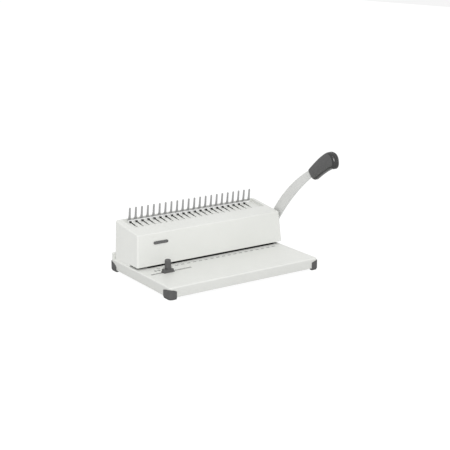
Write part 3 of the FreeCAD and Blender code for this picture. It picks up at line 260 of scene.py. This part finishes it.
SHELL = (0.690, 0.697, 0.670, 1)
DARK = grey(0.082, 0.004)
FINISHES = {
    "shell_plastic": lambda: moulded("shell_plastic", SHELL),
    "badge_plastic": lambda: moulded("badge_plastic", grey(0.10), 0.25, 0.03, 0.6),
    "foot_rubber": lambda: rubbery("foot_rubber", DARK),
    "zinc_sheet": lambda: metal("zinc_sheet", grey(0.55, -0.01), 0.38),
    "finger_steel": lambda: comb_plate_painted_light("finger_steel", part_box("finger_comb")[1].z - FINGER_RISE),
    "dark_steel": lambda: metal("dark_steel", grey(0.06), 0.42),
    "ground_steel": lambda: metal("ground_steel", grey(0.62), 0.2, (40, 1, 1)),
    "bronze_bush": lambda: metal("bronze_bush", (0.52, 0.36, 0.16, 1), 0.35),
    "rail_nylon": lambda: moulded("rail_nylon", grey(0.68, 0.03), 0.5),
    "screw_steel": lambda: metal("screw_steel", grey(0.42), 0.3, (1, 1, 1), 900.0),
    "lever_paint": lambda: painted("lever_paint", (0.60, 0.605, 0.592, 1)),
    "grip_plastic": lambda: moulded("grip_plastic", grey(0.016), 0.2, 0.04, 0.6),
    "guide_plastic": lambda: moulded("guide_plastic", DARK, 0.42, 0.2, 0.5),
    "drawer_plastic": lambda: moulded("drawer_plastic", grey(0.62, 0.01), 0.45),
}
LOOK = {}


def look(slot):
    if slot not in LOOK:
        LOOK[slot] = FINISHES[slot]()
    return LOOK[slot]


def dress_frame():
    """Give every CAD node its slot's material, and the base tray one of its own with painted shade on
    its upright walls.
    """
    slots = {part["node"]: part["material_slot"] for part in frame["record"]["subparts"]}
    for name, node in frame["nodes"].items():
        node.data.materials.clear()
        node.data.materials.append(look(slots[name]))
    frame["nodes"]["base_tray"].data.materials[0] = BASE_SHELL_WALL_SHADE


# ---------------------------------------------------------------- mesh helpers
def add_piece(name, verts, faces, slot, body, smooth=True):
    """A mesh piece of the object that rides on a body."""
    mesh = bpy.data.meshes.new(name)
    mesh.from_pydata([tuple(v) for v in verts], [], faces)
    mesh.validate()
    piece = bpy.data.objects.new(name, mesh)
    bpy.context.scene.collection.objects.link(piece)
    bm = bmesh.new()
    bm.from_mesh(mesh)
    bmesh.ops.recalc_face_normals(bm, faces=bm.faces)
    bm.to_mesh(mesh)
    bm.free()
    for polygon in mesh.polygons:
        polygon.use_smooth = smooth
    mesh.materials.append(look(slot))
    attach(piece, body)
    return piece


def soften(piece, width, segments=3, angle=35):
    """Round a piece's sharp edges and apply it."""
    bevel = piece.modifiers.new("soft_edges", "BEVEL")
    bevel.width = width
    bevel.segments = segments
    bevel.limit_method = "ANGLE"
    bevel.angle_limit = math.radians(angle)
    normals = piece.modifiers.new("normals", "WEIGHTED_NORMAL")
    normals.keep_sharp = True
    for modifier in list(piece.modifiers):
        with bpy.context.temp_override(object=piece, active_object=piece, selected_objects=[piece]):
            bpy.ops.object.modifier_apply(modifier=modifier.name)
    return piece


def prism(outline, low, high):
    """Vertices and faces of an outline in X, Y, raised from low to high."""
    count = len(outline)
    verts = [(x, y, low) for x, y in outline] + [(x, y, high) for x, y in outline]
    faces = [tuple(range(count))[::-1], tuple(range(count, 2 * count))]
    faces += [(i, (i + 1) % count, count + (i + 1) % count, count + i) for i in range(count)]
    return verts, faces


def stack(rings):
    """Verts and faces of rings of equal length laid one after another, capped at both ends."""
    count = len(rings[0])
    verts = [point for ring in rings for point in ring]
    faces = []
    for level in range(len(rings) - 1):
        for i in range(count):
            a = level * count + i
            b = level * count + (i + 1) % count
            faces.append((a, b, b + count, a + count))
    faces.append(tuple(range(count))[::-1])
    last = (len(rings) - 1) * count
    faces.append(tuple(range(last, last + count)))
    return verts, faces


def spline(points, per_span):
    """A closed Catmull-Rom curve through 2-D points."""
    out = []
    count = len(points)
    for i in range(count):
        p0, p1, p2, p3 = (Vector(points[(i + k) % count]) for k in (-1, 0, 1, 2))
        for step in range(per_span):
            u = step / per_span
            out.append(0.5 * ((2 * p1) + (p2 - p0) * u + (2 * p0 - 5 * p1 + 4 * p2 - p3) * u * u
                              + (3 * p1 - p0 - 3 * p2 + p3) * u ** 3))
    return out


def inset(outline, distance):
    """The closed outline moved inwards along its normals, by one distance or one for each point."""
    count = len(outline)
    distances = distance if isinstance(distance, list) else [distance] * count
    area = sum(outline[i].x * outline[(i + 1) % count].y - outline[(i + 1) % count].x * outline[i].y
               for i in range(count))
    turn = 1 if area > 0 else -1
    moved = []
    for i in range(count):
        along = (outline[(i + 1) % count] - outline[i - 1]).normalized()
        moved.append(outline[i] + Vector((-along.y, along.x)) * distances[i] * turn)
    return moved


def relax(outline, rounds):
    """The closed outline smoothed by moving every point between its neighbours."""
    for _ in range(rounds):
        outline = [(outline[i - 1] + 2 * outline[i] + outline[(i + 1) % len(outline)]) / 4
                   for i in range(len(outline))]
    return outline


# ---------------------------------------------------------------- grip
# The grip's side view in mm behind and above the shaft's axis: from the mouth along the back,
# round the nose and its small hook, and back along the underside to the slanted mouth.
GRIP_SIDE = [
    (-135.4, 153.8), (-143.4, 162.2), (-153.5, 171.2), (-170.3, 185.3), (-187.0, 196.4), (-197.3, 200.7),
    (-204.0, 201.5), (-211.5, 199.6), (-218.6, 193.0), (-222.2, 183.0), (-221.6, 174.6), (-217.6, 169.4),
    (-209.5, 167.6), (-203.0, 165.4), (-193.5, 160.4), (-181.8, 153.2), (-169.4, 144.6), (-162.1, 139.2),
    (-156.5, 135.8), (-150.5, 136.2), (-144.5, 141.2), (-138.9, 147.6),
]


def grip_outline():
    """The grip's side view in world Y and Z."""
    low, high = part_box("lever_bolt")
    axis = (low + high) / 2
    return spline([(axis.y + y * MM, axis.z + z * MM) for y, z in GRIP_SIDE], 6)


def nose_share(along):
    """1 at the grip's nose, falling smoothly to 0 at about a third of its length."""
    near = 1.0 - min(1.0, max(0.0, along) / 0.34)
    return near * near * (3 - 2 * near)


def build_grip():
    """The moulded grip: glossy rounded flanks, a parting line, and a grained panel on each side."""
    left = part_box("grip_inner")[0].x
    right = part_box("grip_outer")[1].x
    middle = (left + right) / 2
    panel_proud = 0.35 * MM
    half = (right - left) / 2 - panel_proud
    outline = grip_outline()
    tip = min(p.x for p in outline)
    length = max(p.x for p in outline) - tip

    dome = 0.15

    def side(p, share, extra=0.0):
        """A point of the side view carried out to a share of the grip's half width there."""
        along = min(1.0, max(0.0, (p.x - tip) / length))
        nose = min(1.0, along / dome)
        wide = half * (1.0 - 0.08 * along ** 1.3) * (0.62 + 0.38 * math.sqrt(1 - (1 - nose) ** 2))
        return (middle + share * (wide + extra), p.x, p.y)

    radius = 3.8 * MM
    seam = 0.3 * MM
    levels = []
    for step in range(9):
        angle = math.radians(90 * step / 8)
        levels.append((-1 + math.sin(angle) ** 2 * 0.62, radius * (1 - math.sin(angle))))
    levels += [(-0.05, 0.0), (-0.022, seam)]
    levels += [(-x, d) for x, d in reversed(levels)]
    rings = [[side(p, share) for p in inset(outline, distance)] for share, distance in levels]
    verts, faces = stack(rings)
    grip = add_piece("grip", verts, faces, "grip_plastic", "lever")
    margins = [nose_share((p.x - tip) / length) * 4.2 * MM + 2.8 * MM for p in outline]
    panel_edge = relax(inset(outline, margins), 14)
    for name, sign in (("grip_panel_inner", -1), ("grip_panel_outer", 1)):
        rings = []
        for distance, extra in ((0.0, -0.6), (0.0, 0.15), (0.5, 0.35)):
            rings.append([side(p, sign, extra * MM) for p in inset(panel_edge, distance * MM)])
        verts, faces = stack(rings)
        panel = add_piece(name, verts, faces, "grip_plastic", "lever")
        panel.data.materials[0] = GRAINED
    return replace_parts(grip, "grip_inner", "grip_outer")


# ---------------------------------------------------------------- corner caps
def corner_path(reach_x, reach_y, radius):
    """A corner seen from above, from the end along X round to the end along Y."""
    path = [Vector((reach_x * share, 0.0)) for share in (1.0, 0.85, 0.7)]
    for step in range(9):
        angle = math.radians(90 * step / 8)
        path.append(Vector((radius * (1 - math.sin(angle)), radius * (1 - math.cos(angle)))))
    path += [Vector((0.0, reach_y * share)) for share in (0.5, 0.65, 0.8, 0.9, 1.0)]
    return path


def offset_inwards(path, distance):
    """A corner path moved towards the base."""
    moved = []
    for i, point in enumerate(path):
        before = path[max(i - 1, 0)]
        after = path[min(i + 1, len(path) - 1)]
        along = (after - before).normalized()
        normal = Vector((along.y, -along.x))
        inward = normal if normal.dot(Vector((1, 1))) > 0 else -normal
        moved.append(point + inward * distance)
    return moved


def build_foot(node, body, drop):
    """A corner cap: a wall wrapped round the base's corner that falls away to its ends, on a pad."""
    low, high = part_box(node)
    base_low, base_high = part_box("base_tray")
    right = high.x > 0
    back = high.y > 0
    corner = Vector((high.x if right else low.x, high.y if back else low.y))
    sign = Vector((-1 if right else 1, -1 if back else 1))
    proud = abs(corner.x - (base_high.x if right else base_low.x))
    path = corner_path(high.x - low.x, high.y - low.y, 7.6 * MM)
    inner = offset_inwards(path, proud)
    bottom = base_low.z + 0.05 * MM
    skirt = bottom - 1.4 * MM
    crest = high.z
    turn = 7  # the path's point at the middle of the corner

    def top_at(i):
        if i <= turn:
            share = (path[i] - path[turn]).length / (path[0] - path[turn]).length
        else:
            share = (path[i] - path[turn]).length / (path[-1] - path[turn]).length
        return crest - drop * share ** 1.8

    def world(point, z):
        return (corner.x + sign.x * point.x, corner.y + sign.y * point.y, z)

    lip = 0.5 * MM
    shallow = offset_inwards(path, lip)
    rings = []
    for i in range(len(path)):
        top = top_at(i)
        rings.append([world(path[i], skirt), world(path[i], top - lip),
                      world(shallow[i], top), world(inner[i], top), world(inner[i], bottom),
                      world(shallow[i], skirt)])
    verts, faces = stack(rings)
    foot = add_piece(node + "_cap", verts, faces, "foot_rubber", body)
    soften(foot, 0.3 * MM, 2, 40)
    pad_inset = 1.2 * MM
    outline = offset_inwards(path, pad_inset)
    far_x = outline[0].x
    far_y = outline[-1].y
    outline += [Vector((far_x * 0.45, far_y)), Vector((far_x, far_y * 0.3))]
    verts, faces = prism([world(p, 0)[:2] for p in outline], 0.0, base_low.z)
    pad = add_piece(node + "_pad", verts, faces, "foot_rubber", body)
    soften(pad, 0.5 * MM, 2, 40)
    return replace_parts(foot, node)


# ---------------------------------------------------------------- edge guide
def build_knob():
    """The clamp knob: fine straight knurling, a smooth collar and a slightly dished top."""
    low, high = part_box("guide_knob")
    centre = (low + high) / 2
    radius = (high.x - low.x) / 2
    ribs = 40
    count = ribs * 4
    heights = [(0.0, 0.93, 0), (0.03, 0.97, 0), (0.10, 0.97, 0), (0.13, 1.0, 1), (0.84, 1.0, 1),
               (0.87, 0.975, 0), (0.95, 0.97, 0), (0.985, 0.93, 0), (1.0, 0.86, 0), (0.985, 0.72, 0),
               (0.975, 0.3, 0)]
    rings = []
    for share, wide, ribbed in heights:
        ring = []
        for i in range(count):
            angle = 2 * math.pi * i / count
            groove = 0.28 * MM * (0.5 - 0.5 * math.cos(angle * ribs)) if ribbed else 0.0
            r = radius * wide - groove
            ring.append((centre.x + r * math.cos(angle), centre.y + r * math.sin(angle),
                         low.z + (high.z - low.z) * share))
        rings.append(ring)
    verts, faces = stack(rings)
    knob = add_piece("clamp_knob", verts, faces, "guide_plastic", "guide_knob")
    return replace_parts(knob, "guide_knob")


def build_guide():
    """The edge guide: a saddle with a stepped flange at each end and a tongue in the slot."""
    low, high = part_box("guide_block")
    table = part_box("base_tray")[1].z
    profile = [(0.0, 0.0), (1.0, 0.0), (1.0, 0.30), (0.99, 0.34), (0.945, 0.36), (0.935, 0.40),
               (0.93, 0.95), (0.915, 1.0), (0.085, 1.0), (0.07, 0.95), (0.065, 0.40), (0.055, 0.36),
               (0.01, 0.34), (0.0, 0.30)]
    wide = high.x - low.x
    tall = high.z - table
    front = [(low.x + a * wide, low.y, table + b * tall) for a, b in profile]
    back = [(x, high.y, z) for x, _, z in front]
    verts, faces = stack([front, back])
    guide = add_piece("edge_guide_saddle", verts, faces, "guide_plastic", "edge_guide")
    soften(guide, 0.4 * MM, 3, 20)
    tongue_half = 1.7 * MM
    tongue_end = 4 * MM
    left = low.x + tongue_end
    right = high.x - tongue_end
    near = (low.y + high.y) / 2 - tongue_half
    far = (low.y + high.y) / 2 + tongue_half
    outline = [(left, near), (right, near), (right, far), (left, far)]
    verts, faces = prism(outline, low.z, table + 0.5 * MM)
    tongue = add_piece("edge_guide_tongue", verts, faces, "guide_plastic", "edge_guide")
    soften(tongue, 0.2 * MM)
    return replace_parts(guide, "guide_block")


# ---------------------------------------------------------------- springs
def coil_rings(x, y, low, high, radius, wire):
    """Rings of a round wire wound about an upright axis, from its lower to its upper end."""
    turns = 4.5
    steps = 108
    sides = 8
    rise = high - low - 2 * wire
    rings = []
    for step in range(steps + 1):
        share = step / steps
        angle = 2 * math.pi * turns * share
        out = Vector((math.cos(angle), math.sin(angle), 0.0))
        centre = Vector((x, y, low + wire + rise * share)) + out * radius
        ring = []
        for side in range(sides):
            around = 2 * math.pi * side / sides
            up = Vector((0, 0, wire * math.sin(around)))
            ring.append(centre + out * wire * math.cos(around) + up)
        rings.append(ring)
    return rings


def build_springs():
    """The return springs of round wire, built at one length; on the machine they close up as the punch
    bar comes down.
    """
    low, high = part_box("return_springs")
    wire = 0.4 * MM
    outer = (high.y - low.y) / 2
    y = (low.y + high.y) / 2
    for name, x in (("return_spring_left", low.x + outer), ("return_spring_right", high.x - outer)):
        rings = coil_rings(x, y, low.z, high.z, outer - wire, wire)
        verts, faces = stack(rings)
        spring = add_piece(name, verts, faces, "dark_steel", "housing")
        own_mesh(spring)
        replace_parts(spring, "return_springs")


# ---------------------------------------------------------------- printed marks
def flat_marks(name, outlines, height, body, ink):
    """Thin printed shapes lying on a level surface."""
    verts, faces = [], []
    for outline in outlines:
        more_verts, more_faces = prism(outline, height, height + INK_THICK)
        shift = len(verts)
        verts += more_verts
        faces += [tuple(i + shift for i in face) for face in more_faces]
    marks = add_piece(name, verts, faces, "shell_plastic", body, smooth=False)
    marks.data.materials[0] = ink
    return marks


def rectangle(x, y, half_wide, half_deep):
    """Four corners about a centre."""
    return [(x - half_wide, y - half_deep), (x + half_wide, y - half_deep),
            (x + half_wide, y + half_deep), (x - half_wide, y + half_deep)]


def double_arrow(x, y):
    """A short bar with a triangular head at each end."""
    reach = 3.4 * MM
    head = 4.0 * MM
    half_wide = 4.2 * MM
    shapes = [rectangle(x, y, 3.5 * MM, 0.9 * MM)]
    for side in (-1, 1):
        tip = x + side * (reach + head)
        base = x + side * reach
        shapes.append([(tip, y), (base, y + side * half_wide), (base, y - side * half_wide)])
    return shapes


def build_marks():
    """A mark in front of every punch, and a plain arrow and scale beside the guide's slot; the scale's
    long dark bar along the slot's rear edge is a printed line that also serves as painted shade of the
    slot.
    """
    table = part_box("base_tray")[1].z
    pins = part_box("punch_pins")
    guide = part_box("guide_block")
    middle = (pins[0].x + pins[1].x) / 2
    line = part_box("main_cover")[0].y - 12 * MM
    dashes = []
    for k in range(-SLOTS_EACH_SIDE, SLOTS_EACH_SIDE + 1):
        dashes.append(rectangle(middle + k * COMB_PITCH, line, 3.8 * MM, 1.8 * MM))
    flat_marks("hole_marks", dashes, table, "housing", PALE_INK)
    slot_y = (guide[0].y + guide[1].y) / 2
    slot_x = (guide[0].x + guide[1].x) / 2 + 9 * MM
    tick_step = 11 * MM
    # The long bar along the slot's rear edge: printed baseline and painted shade of the slot.
    scale = [rectangle(slot_x, slot_y + 2.8 * MM, 47 * MM, 0.9 * MM)]
    for k in range(-4, 5):
        scale.append(rectangle(slot_x + k * tick_step, slot_y + 4.4 * MM, 0.35 * MM, 1.1 * MM))
    scale += double_arrow(guide[0].x - 1.5 * MM, guide[1].y + 13 * MM)
    flat_marks("guide_scale_slot_shade", scale, table, "housing", INK)


# ---------------------------------------------------------------- stage
def build_stage():
    """A floor lit from below like a light table, and soft light from the front left and above."""
    floor = bpy.data.meshes.new("floor")
    far = 1.5 * FLOOR_REACH
    floor.from_pydata([(-FLOOR_REACH, -FLOOR_REACH, 0), (FLOOR_REACH, -FLOOR_REACH, 0),
                       (FLOOR_REACH, far, 0), (-FLOOR_REACH, far, 0)], [], [(0, 1, 2, 3)])
    sheet = bpy.data.objects.new("floor", floor)
    bpy.context.scene.collection.objects.link(sheet)
    pale = Nodes("floor_paper")
    tint = pale.mix(pale.ramp(pale.noise(30.0), 0.0, 1.0), grey(0.73), grey(0.76))
    pale.set(Base_Color=tint, Roughness=0.9)
    glow = pale.add("ShaderNodeEmission")
    glow.inputs["Strength"].default_value = 1.1
    path = pale.add("ShaderNodeLightPath")
    share = pale.add("ShaderNodeMath", operation="MULTIPLY")
    pale.feed(share.inputs[0], path.outputs["Is Camera Ray"])
    share.inputs[1].default_value = 0.85
    both = pale.add("ShaderNodeMixShader")
    pale.feed(both.inputs[0], share.outputs[0])
    pale.feed(both.inputs[1], pale.shader.outputs["BSDF"])
    pale.feed(both.inputs[2], glow.outputs["Emission"])
    pale.feed(pale.tree.nodes["Material Output"].inputs["Surface"], both.outputs[0])
    floor.materials.append(pale.material)
    world = bpy.data.worlds.new("room")
    world.use_nodes = True
    world.node_tree.nodes["Background"].inputs["Color"].default_value = (1, 1, 1, 1)
    world.node_tree.nodes["Background"].inputs["Strength"].default_value = 0.92
    bpy.context.scene.world = world
    bpy.context.scene.view_settings.view_transform = "Standard"
    for name, place, power, wide, tall in (
            ("key", (-1.25, -2.0, 1.05), 19, 0.9, 0.9),
            ("strip", (-1.05, -1.45, 1.6), 7, 0.3, 2.2),
            ("top", (-0.3, 0.3, 2.2), 2, 1.8, 1.8)):
        lamp = bpy.data.lights.new(name, "AREA")
        lamp.shape = "RECTANGLE"
        lamp.energy = power
        lamp.size = wide
        lamp.size_y = tall
        light = bpy.data.objects.new(name, lamp)
        light.location = place
        light.rotation_euler = (-Vector(place)).to_track_quat("-Z", "Y").to_euler()
        bpy.context.scene.collection.objects.link(light)


def build_camera():
    """A long lens from the front left, a little above, as the machine is usually shown."""
    turn, rise, roll = (math.radians(a) for a in (-33.51, 15.29, -0.17))
    back = Vector((math.sin(turn) * math.cos(rise), -math.cos(turn) * math.cos(rise), math.sin(rise)))
    target = Vector((6.03, 5.0, 98.32)) * MM
    camera = bpy.data.objects.new("camera", bpy.data.cameras.new("camera"))
    camera.data.lens = 86.6
    camera.data.sensor_width = 36
    camera.location = target + back * 2.2286
    aim = back.to_track_quat("Z", "Y").to_matrix().to_4x4()
    camera.matrix_world = Matrix.Translation(camera.location) @ aim @ Matrix.Rotation(roll, 4, "Z")
    bpy.context.scene.collection.objects.link(camera)
    bpy.context.scene.camera = camera


INK = printed("print_ink", grey(0.06))
PALE_INK = printed("pale_ink", grey(0.22))
GRAINED = moulded("grip_grain", grey(0.072), 0.45, 0.5, 0.5)
# The base tray's plastic, with painted shade on its upright walls.
BASE_SHELL_WALL_SHADE = moulded("base_shell_wall_shade", SHELL, sides=0.88)
dress_frame()
build_grip()
for foot_node in ("foot_front_left", "foot_front_right"):
    build_foot(foot_node, "housing", 4.0 * MM)
for foot_node in ("foot_rear_left", "foot_rear_right"):
    build_foot(foot_node, "housing", 9.0 * MM)
build_knob()
build_guide()
build_springs()
build_marks()
build_stage()
build_camera()
